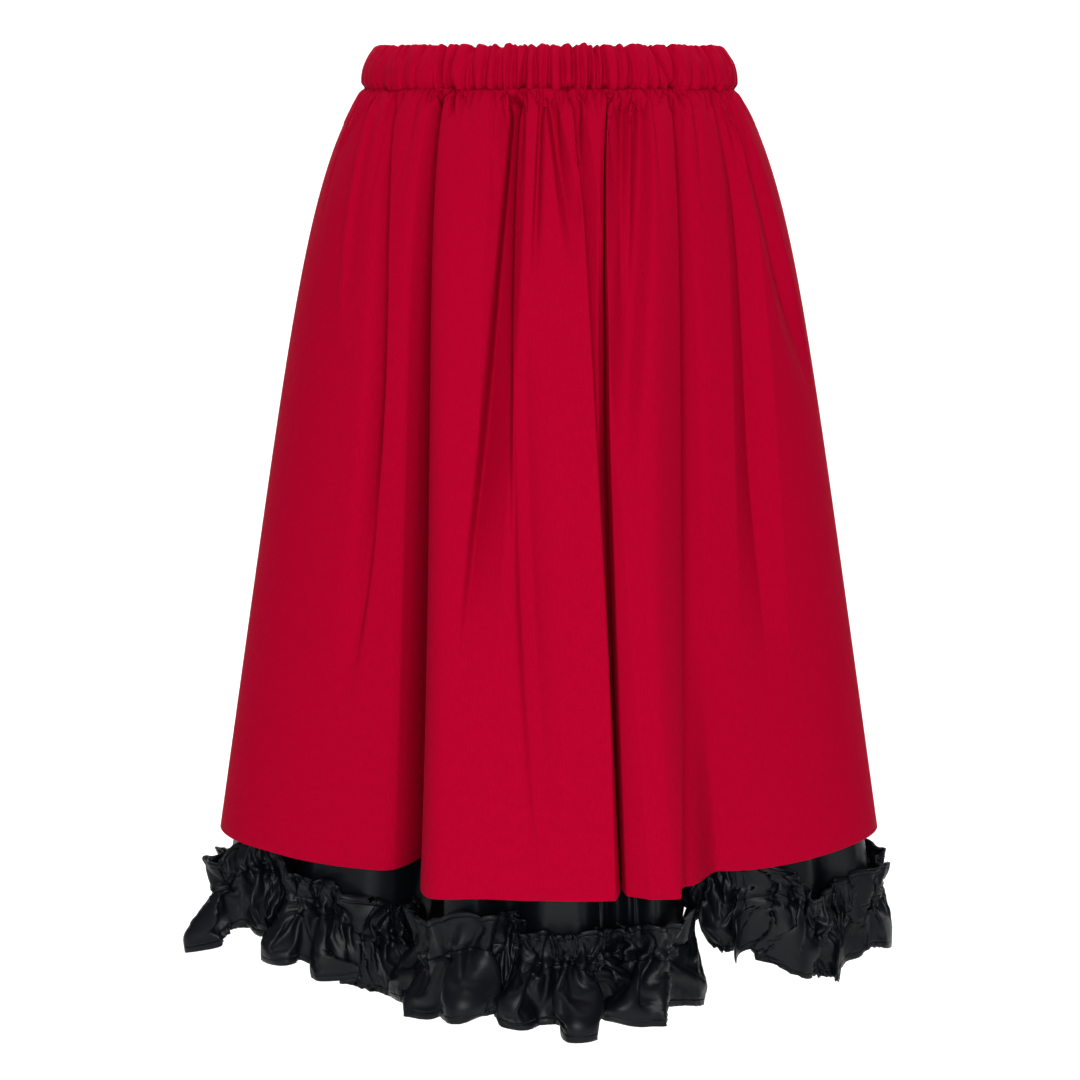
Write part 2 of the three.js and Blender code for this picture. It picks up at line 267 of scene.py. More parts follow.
def evenColumns(folds, half, count):
    # bearings at the hem spaced by the cloth's own length round the skirt, with its folds, taken as the
    # mean over several heights, so that the steep sides of the folds get columns of their own
    start, end, _ = halves[half]
    fine = np.linspace(start, end, fineColumns)
    rows = hang(folds, fine, np.array([0, 60, 150, 260, 400, cloth["skirtLength"]]), lambda v: 0)[1:]
    steps = np.linalg.norm(np.diff(rows[..., :2], axis=1), axis=2)
    steps = (steps / steps.sum(axis=1, keepdims=True)).sum(axis=0) + 1 / (len(fine) - 1)
    along = np.concatenate([[0], np.cumsum(steps)])
    return np.interp(np.linspace(0, along[-1], count), along, fine)


def rowsTo(stops):
    # lengths from the first stop on, each stretch cut into steps of about the size given with it
    lengths = [np.array([0.0])]
    last = 0
    for to, step in stops:
        parts = max(1, round((to - last) / step))
        lengths.append(last + (to - last) * np.arange(1, parts + 1) / parts)
        last = to
    return np.concatenate(lengths)


def normalsOf(points):
    # cross product of the slopes down and across the grid
    down, across = np.gradient(points, axis=0), np.gradient(points, axis=1)
    n = np.cross(across, -down)
    return n / np.maximum(np.linalg.norm(n, axis=-1, keepdims=True), 1e-9)


def turnEdge(points, uv, turn, step, gap):
    # narrow turned hem: the edge once more, and the row as far back from it as the turning is wide,
    # both moved against the normal by the gap
    n = normalsOf(points)
    back = turn / step
    k = -1 - int(back)
    mix = back - int(back)
    fold = points[-1] - gap * n[-1]
    inner = (points[k] - gap * n[k]) * (1 - mix) + (points[k - 1] - gap * n[k - 1]) * mix
    return np.concatenate([points, np.stack([fold, inner])]), np.concatenate([uv, uv[-1:], uv[-1:]])


def waistArc(atHem):
    # length of cloth round the waist seam, from the wearer's right side, to where a line starts
    bearing = bearingAt(everyBearing, 0)
    x, y = sizeAt(sideToSide, 0) * np.sin(bearing), -depthAt(bearing, 0) * np.cos(bearing)
    along = np.concatenate([[0], np.cumsum(np.hypot(np.diff(x), np.diff(y)))])
    return np.interp(atHem, everyBearing, along)


def smoothNoise(seed, x, size, octaves=3, loop=None):
    # sum of sines of random phase, each octave half as long and half as high; about -1 to 1;
    # loop: length after which it repeats
    rng = np.random.default_rng(seed)
    total = np.zeros_like(x)
    for octave in range(octaves):
        for _ in range(3):
            wave = size / 2**octave * rng.uniform(0.7, 1.4)
            wave = loop / round(loop / wave) if loop else wave
            total += np.sin(2 * np.pi * x / wave + rng.uniform(0, 2 * np.pi)) / 2**octave / 3
    return total


def scatterGathers(seed, length, pitch, depth, width, reach, slant):
    # grooves along a seam of that length, at uneven distances, with uneven sizes
    rng = np.random.default_rng(seed)
    grooves, at = [], rng.uniform(0, pitch[1])
    while at < length:
        grooves.append(dict(at=at, depth=rng.uniform(*depth), width=rng.uniform(*width),
                            reach=rng.uniform(*reach), slant=rng.uniform(-slant, slant)))
        at += rng.uniform(*pitch)
    return grooves


def grooveField(grooves, along, away):
    # each groove is a crease, deepest at its middle and rounding off to its width on both sides;
    # it drifts aside by its slant and dies away over its reach from the seam
    field = np.zeros(np.broadcast(along, away).shape)
    for g in grooves:
        off = np.abs(along - g["at"] - g["slant"] * away / g["reach"]) / g["width"]
        field -= g["depth"] * np.clip(1 - off, 0, 1)**1.6 * ease(1.15 - away / g["reach"])
    return field


def pitField(pits, along, away, width=2.8, height=4):
    # gather holes at the waist seam: each a bell, its depth times e to minus the distance squared
    field = np.zeros(np.broadcast(along, away).shape)
    for at, depth in pits:
        field -= depth * np.exp(-((along - at) / width)**2 - (away / height)**2)
    return field


def sideNormals(points):
    # outward direction in plan along each row
    across = np.gradient(points[..., :2], axis=1)
    n = np.stack([-across[..., 1], across[..., 0]], axis=-1) * -1
    return n / np.maximum(np.linalg.norm(n, axis=-1, keepdims=True), 1e-9)


def turnSides(points, half, depth):
    # the edges at the side seams roll over and go in, so that two panels meet in a groove; both
    # slant the same way, so that no light comes through between them
    edge = halves[half][2] * 0.5 * cloth["seamGap"]
    first, last = points[:, 0].copy(), points[:, -1].copy()
    columns = []
    for end in (first, last):
        inward = -np.sign(end[:, :1]) * np.array([[1.0, 0, 0]])
        rolled = [end + inward * into for into in (0.25 * depth, 0.6 * depth, depth)]
        for column, gap, slant in zip(rolled, (1.6, 1.0, 1.0), (0, 0.5, 1.1)):
            column[:, 1] = edge * gap + slant
        columns.append(rolled)
    points[:, 0, 1] = points[:, -1, 1] = edge * 4
    before = np.stack(columns[0][::-1], axis=1)
    after = np.stack(columns[1], axis=1)
    return np.concatenate([before, points, after], axis=1)


def turnHem(points, lengths, roll, depth):
    # the bottom edge rolls under in three rows, and the turning runs back up inside the cloth in three
    # more, each the row of that length moved in by the roll
    down, out = points[-1] - points[-2], sideNormals(points)
    down = down / np.linalg.norm(down, axis=1, keepdims=True)
    rows = []
    for inward, below in ((0.25, 0.3), (0.75, 0.3), (1.0, -0.3)):
        row = points[-1] + down * below * roll
        row[:, :2] -= out[-1] * inward * roll
        rows.append(row)
    for up in np.linspace(0.3, 1, 3) * depth:
        at = lengths[-1] - up
        k = min(np.searchsorted(lengths, at), len(lengths) - 1)
        mix = (at - lengths[k - 1]) / (lengths[k] - lengths[k - 1])
        row = points[k - 1] * (1 - mix) + points[k] * mix
        row[:, :2] -= (out[k - 1] * (1 - mix) + out[k] * mix) * roll
        rows.append(row)
    return np.concatenate([points, np.stack(rows)], axis=0)


def gridMesh(name, points, uv, flip=False):
    # one quad between each four neighbours of the grid, and a UV map in metres of cloth
    rows, columns = points.shape[:2]
    index = np.arange(rows * columns).reshape(rows, columns)
    quads = np.stack([index[:-1, :-1], index[1:, :-1], index[1:, 1:], index[:-1, 1:]], axis=-1)
    quads = quads.reshape(-1, 4)
    if flip:
        quads = quads[:, ::-1]
    mesh = bpy.data.meshes.new(name)
    mesh.from_pydata((points.reshape(-1, 3) * mm).tolist(), [], quads.tolist())
    layer = mesh.uv_layers.new(name="cloth")
    layer.data.foreach_set("uv", (uv.reshape(-1, 2)[quads.reshape(-1)] * mm).ravel())
    mesh.polygons.foreach_set("use_smooth", np.ones(len(mesh.polygons), bool))
    mesh.update()
    piece = bpy.data.objects.new(name, mesh)
    bpy.context.collection.objects.link(piece)
    return piece


def clothUv(points):
    # across the cloth by the length of its last row, and down it by the length of each column
    across = np.linalg.norm(np.diff(points, axis=1), axis=2)
    u = np.concatenate([np.zeros((len(points), 1)), np.cumsum(across, axis=1)], axis=1)
    u = np.broadcast_to(u[-1:], points.shape[:2])
    down = np.linalg.norm(np.diff(points, axis=0), axis=2)
    v = np.concatenate([np.zeros((1, points.shape[1])), np.cumsum(down, axis=0)])
    return np.stack([u, -v], axis=-1)


def addWall(piece, thickness):
    # the surface is the right side of the cloth, and the wall grows inwards from it
    wall = piece.modifiers.new("wall", "SOLIDIFY")
    wall.thickness = thickness * mm
    wall.offset = -1


def placePiece(piece, material, nodes):
    piece.data.materials.append(material)
    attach(piece, "root")
    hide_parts(*nodes)


def linearOf(code):
    # sRGB hex to linear: v / 12.92 in the darkest part, ((v + 0.055) / 1.055)^2.4 above it
    values = [int(code[i:i + 2], 16) / 255 for i in (1, 3, 5)]
    return [v / 12.92 if v <= 0.04045 else ((v + 0.055) / 1.055) ** 2.4 for v in values] + [1]


def addNode(tree, kind, settings=None, inputs=None):
    # a node with its settings, and its inputs set to a value or linked to a socket
    node = tree.nodes.new(kind)
    for key, value in (settings or {}).items():
        setattr(node, key, value)
    for key, value in (inputs or {}).items():
        if isinstance(value, bpy.types.NodeSocket):
            tree.links.new(value, node.inputs[key])
        else:
            node.inputs[key].default_value = value
    return node


def newMaterial(name):
    # empty node tree with an output
    material = bpy.data.materials.new(name)
    material.use_nodes = True
    tree = material.node_tree
    tree.nodes.clear()
    out = tree.nodes.new("ShaderNodeOutputMaterial")
    return material, tree, out


# Wool gabardine, woven in a tight twill and pressed: a dull, even cloth with a soft bloom at grazing
# angles and hardly a highlight. IOR stays at the default 1.5, close to wool fibre's 1.55, and the
# specular level is low because fibres scatter what they reflect.
gabardine = dict(
    lit="#b0032a", shade="#a00226", bloom="#ff2040", glint="#ff6080",
    roughness=0.85, specular=0.04, sheen=0.04, sheenRoughness=0.4,
    slubs=(0.7, 0.12),  # uneven yarn, per mm across and down; yarn is 0.3 mm, drawn coarser to show
    ribs=2.17, ribAngle=63,  # mm between twill ribs and degrees; 0.5 mm in the real cloth, coarser here
    bump=0.12, bumpHeight=0.4,  # strength, and mm
)
# Polyester satin, woven with long floats and calendered: near black, smooth, with a broad soft
# highlight along each fold. IOR default 1.5, specular level low because the floats break it up.
satin = dict(
    lit="#0c0e14", shade="#080a0e", roughness=0.41, specular=0.17,
    slubs=(0.16, 0.9),  # floats, per mm across and down; they are 0.1 mm fine, drawn coarser to show
    bump=0.08, bumpHeight=0.3,
    stitchWidth=1.1, stitchDepth=0.9,  # mm from the middle of a stitched groove to its edge, and down
)


def startCloth(name, look):
    # a material with the UV map of the cloth, uneven threads as noise stretched along them, and a
    # colour between shade and lit that follows the noise
    material, tree, out = newMaterial(name)
    place = addNode(tree, "ShaderNodeUVMap", dict(uv_map="cloth"))
    across, down = look["slubs"]
    grain = addNode(tree, "ShaderNodeMapping",
                    inputs={"Vector": place.outputs[0], "Scale": (across / mm, down / mm, 1)})
    slubs = addNode(tree, "ShaderNodeTexNoise", inputs={"Vector": grain.outputs[0], "Scale": 1, "Detail": 2})
    mix = addNode(tree, "ShaderNodeMix", dict(data_type="RGBA"),
                  {0: slubs.outputs[0], 6: linearOf(look["shade"]), 7: linearOf(look["lit"])})
    return material, tree, out, place, slubs, mix


def finishCloth(tree, out, look, mix, bump, more=()):
    # the shader, with the colour, the bump and the cloth's own roughness and specular level
    inputs = {"Base Color": mix.outputs[2], "Roughness": look["roughness"],
              "Specular IOR Level": look["specular"], "Normal": bump.outputs[0], **dict(more)}
    shader = addNode(tree, "ShaderNodeBsdfPrincipled", inputs=inputs)
    tree.links.new(shader.outputs[0], out.inputs[0])


def wovenWool(name):
    material, tree, out, place, slubs, mix = startCloth(name, gabardine)
    twist = addNode(tree, "ShaderNodeMapping",
                    inputs={"Vector": place.outputs[0],
                            "Rotation": (0, 0, math.radians(gabardine["ribAngle"]))})
    # the wave texture repeats 20 times in 2 pi at scale 1
    twill = addNode(tree, "ShaderNodeTexWave", dict(wave_type="BANDS", bands_direction="X"),
                    {"Vector": twist.outputs[0], "Scale": 2 * math.pi / 20 / (gabardine["ribs"] * mm),
                     "Distortion": 0.6, "Detail": 1})
    height = addNode(tree, "ShaderNodeMath", dict(operation="ADD"),
                     {0: slubs.outputs[0], 1: twill.outputs[0]})
    bump = addNode(tree, "ShaderNodeBump",
                   inputs={"Strength": gabardine["bump"], "Distance": gabardine["bumpHeight"] * mm,
                           "Height": height.outputs[0]})
    finishCloth(tree, out, gabardine, mix, bump,
                {"Specular Tint": linearOf(gabardine["glint"]), "Sheen Weight": gabardine["sheen"],
                 "Sheen Roughness": gabardine["sheenRoughness"], "Sheen Tint": linearOf(gabardine["bloom"])})
    return material


def wovenSatin(name, seams=()):
    # seams: places down the cloth, in mm, where a row of stitches draws it in
    material, tree, out, place, slubs, mix = startCloth(name, satin)
    bump = addNode(tree, "ShaderNodeBump",
                   inputs={"Strength": satin["bump"], "Distance": satin["bumpHeight"] * mm,
                           "Height": slubs.outputs[0]})
    split = addNode(tree, "ShaderNodeSeparateXYZ", inputs={0: place.outputs[0]})
    for seam in seams:
        off = addNode(tree, "ShaderNodeMath", dict(operation="SUBTRACT"),
                      {0: split.outputs[1], 1: seam * mm})
        size = addNode(tree, "ShaderNodeMath", dict(operation="ABSOLUTE"), {0: off.outputs[0]})
        dip = addNode(tree, "ShaderNodeMapRange", dict(interpolation_type="SMOOTHSTEP"),
                      {0: size.outputs[0], 1: 0.0, 2: satin["stitchWidth"] * mm, 3: 0.0, 4: 1.0})
        bump = addNode(tree, "ShaderNodeBump",
                       inputs={"Strength": 1.0, "Distance": satin["stitchDepth"] * mm,
                               "Height": dip.outputs[0], "Normal": bump.outputs[0]})
    finishCloth(tree, out, satin, mix, bump)
    return material


redWool = wovenWool("red wool gabardine")
redCasing = wovenWool("red wool gabardine band")
blackSatin = wovenSatin("black polyester satin")
print("gabardine and satin ready")

# Red skirt: gathered on to the casing, with a turned-up hem
skirt = dict(
    columns=660, stops=[(24, 2), (60, 4), (140, 7), (cloth["hemLength"], 14)],  # rows: up to, step
    wall=0.9, seamTuck=1.8, hemRoll=1.6, hemDepth=28, allowance=2.4,
    pitShare=0.6,  # of the gather holes' depth, which the casing has in full
    seamWave=1.6, seamWaveLength=62,  # how far the waist seam rides up and down
)
waistLength = float(waistArc(np.array([270.0]))[0])


def arcAt(degrees):
    # place round the waist seam of a bearing at the seam
    return float(np.interp(np.radians(degrees), bearingAt(everyBearing, 0), waistArc(everyBearing)))


# Holes where the gathering thread pulls deepest: bearing at the seam, depth
seamPits = [(arcAt(at), depth) for at, depth in
            ((-31, 6), (-9, 4.5), (5.5, 5), (17.5, 2.5), (25.5, 3), (40.5, 6), (63, 4),
             (112, 4), (131, 5.5), (152, 4), (171, 5.5), (183, 3.5), (207, 5.5), (228, 5), (249, 4.5))]
# Small gathers under the seam, with four more that run into each hole, and some longer ones
puckers = scatterGathers(seed=11, length=waistLength, pitch=(2.8, 9), depth=(2.2, 6), width=(1.4, 2.8),
                         reach=(9, 30), slant=5)
puckers += [dict(at=at + aside, depth=depth, width=2.4, reach=reach, slant=aside * 1.6)
            for at, depth in seamPits for aside, reach in ((-7, 16), (-3, 20), (2.5, 24), (6.5, 15))]
longGathers = scatterGathers(seed=12, length=waistLength, pitch=(10, 24), depth=(1.2, 3.4), width=(3, 6),
                             reach=(25, 110), slant=5)


def seamWave(along):
    # height of the waist seam, which rides up and down a little between the gathers
    return skirt["seamWave"] * smoothNoise(31, along, skirt["seamWaveLength"], octaves=2, loop=waistLength)


def buildSkirt(half):
    # the hanging cloth, moved in along its normal by the sum of the gathers, the holes and the tuck at
    # the seam, then hemmed and turned in at the sides
    atHem = evenColumns(skirtFolds, half, skirt["columns"])
    lengths = rowsTo(skirt["stops"])
    points = hang(skirtFolds, atHem, lengths, lambda v: 0)
    along, away = waistArc(atHem)[None, :], lengths[:, None]
    field = grooveField(puckers, along, away) + grooveField(longGathers, along, away)
    field = field * ease((away + 2) / 6) + skirt["pitShare"] * pitField(seamPits, along, away)
    field -= skirt["seamTuck"] * ease(1 - away / 5)
    points[..., :2] += sideNormals(points) * field[..., None]
    points[..., 2] += seamWave(along) * (1 - ease(away / 30))
    points = turnHem(points, lengths, skirt["hemRoll"], skirt["hemDepth"])
    points = turnSides(points, half, skirt["allowance"])
    piece = gridMesh("skirt_" + half + "_cloth", points, clothUv(points))
    addWall(piece, skirt["wall"])
    placePiece(piece, redWool, ["skirt_" + half])


# Waist casing: a band of the same cloth folded over wide elastic, which draws it into flutes
casing = dict(
    height=31, columns=640, wall=0.7, clear=0.2,  # clear: how far it stands off the seam's oval
    lean=2.3, inAtSide=10.6, inAtFront=8.2,  # it narrows upwards with the height to the power of lean
    loose=4.2, roll=1.7,  # inner wall behind the outer one, and radius of the turn at the top
    seamTuck=2.0, puff=0.9, allowance=2.2,
    fluteGain=2.2, deepest=-7.5,  # grooves are drawn this much deeper, but no deeper than this
    sway=0.8, swayLength=40, topWave=0.6, topWaveLength=17, topShare=0.45, topFrom=18, topOver=12,
    innerShare=0.6,  # of the grooves' depth, on the inner wall
)
# Grooves right across it: bearing at the seam, depth, half width, drift over the height
frontFlutes = [
    (-83, 1.2, 5, 3), (-74, 0.8, 6, -4), (-62, 0.7, 6, 3), (-49, 0.8, 6, -3), (-34.4, 3.2, 4.4, -3),
    (-31.9, 2.4, 3.0, 3), (-26.5, 1.4, 3.4, 2), (-23.8, 1.9, 3.6, -2), (-20, 2.2, 3.8, 2),
    (-16.2, 2.4, 3.6, 1), (-14.3, 1.5, 2.2, -2), (-12.6, 1.6, 2.4, 2), (-10.4, 2.2, 3.0, 0),
    (-7.9, 2.8, 3.6, 2), (-4, 2.3, 3.4, -1), (-2, 1.2, 2.2, 2), (-0.3, 2.0, 2.8, 1), (4, 2.5, 3.8, -1),
    (7, 2.9, 3.4, 1), (9.7, 1.6, 2.6, -1), (11.7, 2.3, 3.0, 2), (14.2, 1.6, 2.8, 0),
    (17, 2.9, 3.8, -1), (21.4, 1.8, 3.8, 1), (24.7, 2.8, 3.2, 1), (26.6, 1.2, 2.0, -1),
    (31, 1.0, 4.6, 2), (35.5, 1.2, 4.0, -3), (40.9, 3.4, 3.6, 2), (39.3, 2.2, 2.8, -13),
    (48, 1.0, 5.5, 2), (55, 0.8, 5, -3), (62, 3.6, 3.8, -4), (69, 1.4, 4.4, 3), (77, 2.0, 4, -2),
    (85, 1.2, 4, 1)]
# A flute reaches well over the casing's height, so that it runs right up; the back's are scattered
flutes = [dict(at=arcAt(at), depth=depth, width=width, reach=80, slant=2.4 * slant)
          for at, depth, width, slant in frontFlutes]
scattered = scatterGathers(seed=21, length=waistLength, pitch=(5, 11.5), depth=(0.9, 3.2), width=(2.8, 4.6),
                           reach=(70, 90), slant=9)
flutes += [flute for flute in scattered if flute["at"] > arcAt(90)]
lowFlutes = scatterGathers(seed=22, length=waistLength, pitch=(7, 20), depth=(0.6, 1.8), width=(2, 3.6),
                           reach=(9, 20), slant=3)
highFlutes = scatterGathers(seed=23, length=waistLength, pitch=(7, 19), depth=(0.6, 2.0), width=(2, 3.6),
                            reach=(9, 20), slant=3)


def buildCasing(half):
    # profile: up the outside, over the top in a half circle, down the inside; carried round the oval,
    # narrowing towards the top, and pushed in by the grooves
    start, end, _ = halves[half]
    bearing = np.radians(np.linspace(start, end, casing["columns"]))[None, :]
    along = np.interp(bearing, bearingAt(everyBearing, 0), waistArc(everyBearing))
    # heights of the rows: close together at the seam, then even, round the top, and down the inside
    shoulder = casing["height"] - casing["roll"]
    side = np.concatenate([np.linspace(-0.7, 2.5, 4), np.linspace(4, shoulder, 20)])
    turn = np.radians(np.linspace(20, 180, 8))
    inside = np.linspace(25, 1.0, 5)
    height = np.concatenate([side, shoulder + casing["roll"] * np.sin(turn), inside])[:, None]
    into = np.concatenate([0 * side, casing["roll"] * (1 - np.cos(turn)), 0 * inside + casing["loose"]])
    outer = np.concatenate([0 * side + 1, 1 - (1 - casing["innerShare"]) * turn / np.pi,
                            0 * inside + casing["innerShare"]])
    into, outer = into[:, None], outer[:, None]
    share = np.clip(height / casing["height"], 0, 1)
    waist = np.where(np.cos(bearing) > 0, toTheFront["waist"], toTheBack["waist"]) + casing["clear"]
    width = sideToSide["waist"] + casing["clear"] - casing["inAtSide"] * share ** casing["lean"] - into
    depth = waist - casing["inAtFront"] * share ** casing["lean"] - into
    x, y = width * np.sin(bearing), -depth * np.cos(bearing)
    nx, ny = outwards(x, y, width, depth)
    high = np.clip(height, 0, casing["height"])
    field = grooveField(flutes, along, high)
    field += grooveField(lowFlutes, along, high) + grooveField(highFlutes, along, casing["height"] - high)
    field = np.maximum(casing["fluteGain"] * field, casing["deepest"])
    field = field + casing["puff"] * np.sin(np.pi * share)
    around = along + 0 * high
    field += casing["sway"] * smoothNoise(24, around, casing["swayLength"], octaves=2, loop=waistLength)
    pits = pitField(seamPits, along, high)
    push = (field + pits) * outer - casing["seamTuck"] * ease(1 - height / 4) * (outer == 1)
    top = ease((height - casing["topFrom"]) / casing["topOver"])
    wave = casing["topWave"] * smoothNoise(25, around, casing["topWaveLength"], octaves=3, loop=waistLength)
    z = height + top * (casing["topShare"] * field + wave)
    z = z + seamWave(along) * (1 - ease(high / 24))
    points = np.stack([x + nx * push, y + ny * push, z], axis=-1)
    points = turnSides(points[::-1], half, casing["allowance"])[::-1]
    piece = gridMesh("waistband_" + half + "_cloth", points, clothUv(points), flip=True)
    addWall(piece, casing["wall"])
    placePiece(piece, redCasing, ["waistband_" + half])


# Underskirt: hangs inside the skirt from the same seam and carries the ruffle
under = dict(
    columns=340, wall=0.6, stops=[(40, 5), (600, 14), (cloth["underLength"], 3)], allowance=1.6,
    atSeam=5.5, further=5.5, reach=45,  # how far inside the skirt's oval it hangs, and how soon
    clear=4.5, clearAtWaist=6, waistReach=130,  # least distance behind the skirt's own folds
    freeFrom=566, freeOver=66,  # below this length it no longer has to lie behind them
    liftFrom=400, liftOver=210,
)
# Where its lower edge hangs higher or lower: bearing at the hem, lift, half width in mm
underLifts = [
    (-62, 28, 34), (-43, 15, 26), (-29, -2, 20), (-10, 16, 24), (-4.5, 8, 10), (3, 4, 22), (15, 2, 18),
    (27.5, 46, 17), (37, 24, 24), (45, 18, 14), (55, -6, 20), (70, -6, 16),
    (112, 20, 26), (133, -6, 20), (147, 26, 22), (163, -5, 24), (179, 24, 22), (196, -5, 20),
    (211, 14, 22), (232, 28, 26), (250, -4, 22)]


def underInset(length):
    # distance inside the skirt's oval, which grows with one less e to minus the length over the reach
    return under["atSeam"] + under["further"] * (1 - np.exp(-length / under["reach"]))


def liftAt(atHem, length):
    # sum of flat-topped bells round the hem, e to minus the fourth power of the distance, growing from
    # nothing two thirds of the way down
    step = 0.25
    ring = np.linspace(-90, 270, int(360 / step) + 1)
    along = reachAt(np.radians(ring[1:]), cloth["skirtLength"]) * np.radians(step)
    along = np.concatenate([[0], np.cumsum(along)])
    lift = 0
    for at, height, width in underLifts:
        off = np.interp(atHem, ring, along) - np.interp(at, ring, along)
        off = (off + along[-1] / 2) % along[-1] - along[-1] / 2
        lift = lift + height * np.exp(-(off / width)**4)
    return lift * ease((length - under["liftFrom"]) / under["liftOver"])


def clearOfSkirt(points, atHem, lengths):
    # wherever the skirt's own folds reach in further than the underskirt, it is moved in along the
    # oval's normal until it lies behind the deepest of them within three degrees
    spread = np.linspace(-3, 3, 7)
    length, mine = np.meshgrid(lengths, atHem, indexing="ij")
    level = length - liftAt(mine, length)
    bearing = bearingAt(mine, length)
    deepest = np.min([foldOffset(skirtFolds, bearing + np.radians(d), level)[0] for d in spread], axis=0)
    own = foldOffset(underFolds, bearing, length)[0] - underInset(length)
    gap = under["clear"] + under["clearAtWaist"] * (1 - ease(length / under["waistReach"]))
    push = np.minimum(0, deepest - gap - own) * (1 - ease((level - under["freeFrom"]) / under["freeOver"]))
    width, depth = sizeAt(sideToSide, length), depthAt(bearing, length)
    nx, ny = outwards(width * np.sin(bearing), -depth * np.cos(bearing), width, depth)
    points[..., 0] += nx * push
    points[..., 1] += ny * push
    return points


def buildUnderskirt(half):
    # the hanging cloth with its own folds, kept behind the skirt's, its lower edge lifted in places
    atHem = evenColumns(underFolds, half, under["columns"])
    lengths = rowsTo(under["stops"])
    points = hang(underFolds, atHem, lengths, underInset)
    points = clearOfSkirt(points, atHem, lengths)
    points[..., 2] += liftAt(atHem[None, :], lengths[:, None])
    points = turnSides(points, half, under["allowance"])
    piece = gridMesh("underskirt_" + half + "_cloth", points, clothUv(points))
    addWall(piece, under["wall"])
    placePiece(piece, blackSatin, ["underskirt_" + half])
    around = np.linalg.norm(np.diff(points[-1], axis=0), axis=1).sum()
    print("underskirt", half + ":", round(around), "mm round its lower edge")
    return piece


# Ruffle: a strip of the satin joined into a ring and stitched to the underskirt along a gathering
# line, which leaves a header above it and a flounce below
ruffle = dict(
    flatFullness=1.15,  # length of strip for each length of edge, between the knots
    header=29, flounce=46, columns=1640, rowStep=2.6, wall=0.35,
    seat=1.5, lift=3,  # how far the strip lies off the underskirt, and its stitches more than that
    firstWave=27, headerWave=36, flounceWave=84,  # length of strip in a fold, at the stitches and edges
    reach=36,  # mm from the stitches in which the short folds give way to the long ones
    waveSpan=5, waveSpread=0.45,  # folds differ in length over so many of them, by e to the power of this
    evenOver=60, centreOver=100,  # mm of strip over which it keeps its place along the edge and out
    outShare=0.6, headerLean=6, seed=40,
)
hems = dict(turn=4.5, gap=0.75)  # width of the turned edges, and how far they lie behind the strip
settling = dict(
    frames=12, quality=5, collisionQuality=2, weight=0.0004, stretch=60, shear=15, bending=3.5, air=3,
    friction=5, apart=1.0,  # mm that folds of the strip keep from each other
    outer=1, inner=4,  # mm in front of and behind the underskirt in which it stops the strip
)
# Gathers bunch up in knots: bearing at the hem, gain in fullness there, half width in mm
ruffleKnots = [
    (-87, 1.5, 24), (-64, 0.9, 20), (-43, 1.5, 22), (-29, 1.8, 22), (-19.5, 1.5, 15), (-11, 0.6, 18),
    (3, 2.0, 28), (14, 1.7, 22), (27, 0.8, 18), (38, 1.2, 18), (52, 1.5, 22), (69, 0.8, 20),
    (93, 0.6, 24), (108, 1.0, 18), (124, 1.7, 24), (139, 0.8, 20), (152, 1.5, 20), (166, 1.8, 26),
    (180, 0.7, 20), (193, 1.6, 22), (207, 1.0, 18), (221, 1.7, 24), (236, 1.0, 20), (252, 1.5, 24)]
# How far the ruffle may stand out: bearing, mm
standOut = [(-180, 60), (-90, 60), (50, 60), (72, 22), (100, 22), (130, 60), (180, 60)]
# Under the red hem: mm behind it, least room there, and room gained for each mm further down
tuck = dict(behind=3, least=4, spread=1.3, fineColumns=6001)

# stitched in grooves: both hems and the gathering row
hemmedSatin = wovenSatin("black polyester satin, hemmed and gathered",
                         (ruffle["header"] - hems["turn"], 0, hems["turn"] - ruffle["flounce"]))


def swing(phase, sharpness=2.2):
    # hyperbolic tangent of the sine times the sharpness, over its own greatest value: the cloth runs
    # straight, then turns short
    return np.tanh(sharpness * np.sin(phase)) / np.tanh(sharpness)


def ringSmoothed(values, window):
    # running mean round a closed row
    window = max(1, int(window) // 2 * 2 + 1)
    pad = np.concatenate([values[..., -(window // 2):], values, values[..., :window // 2]], axis=-1)
    total = np.cumsum(np.concatenate([np.zeros_like(pad[..., :1]), pad], axis=-1), axis=-1)
    return (total[..., window:] - total[..., :-window]) / window


def ruffleRing():
    # the gathering line: plan of the underskirt at that length, all round from the right side seam,
    # with the way outwards and the fullness of the strip at each place
    fine = np.linspace(-90, 270, fineColumns)
    lengths = rowsTo([(cloth["gatherLength"], 24)])  # steps of 24 mm are enough for the fall
    base = clearOfSkirt(hang(underFolds, fine, lengths, underInset)[-1:], fine, lengths[-1:])[0]
    base[:, 2] += liftAt(fine, cloth["gatherLength"])
    along = np.concatenate([[0], np.cumsum(np.hypot(*np.diff(base[:, :2], axis=0).T))])
    even = np.linspace(0, along[-1], fineColumns)[:-1]
    base = np.stack([np.interp(even, along, base[:, i]) for i in range(3)], axis=-1)
    base[:, :2] = ringSmoothed(base[:, :2].T, 7).T
    across = np.roll(base, -1, axis=0)[:, :2] - np.roll(base, 1, axis=0)[:, :2]
    normal = ringSmoothed(np.stack([across[:, 1], -across[:, 0]]), 41)
    normal = normal / np.linalg.norm(normal, axis=0)
    fullness = np.full_like(even, ruffle["flatFullness"])
    for at, gain, width in ruffleKnots:
        off = even - np.interp(at, fine, along)
        off = (off + along[-1] / 2) % along[-1] - along[-1] / 2
        fullness += gain * np.exp(-(off / width)**2)
    return base, normal.T, fullness, along[-1]


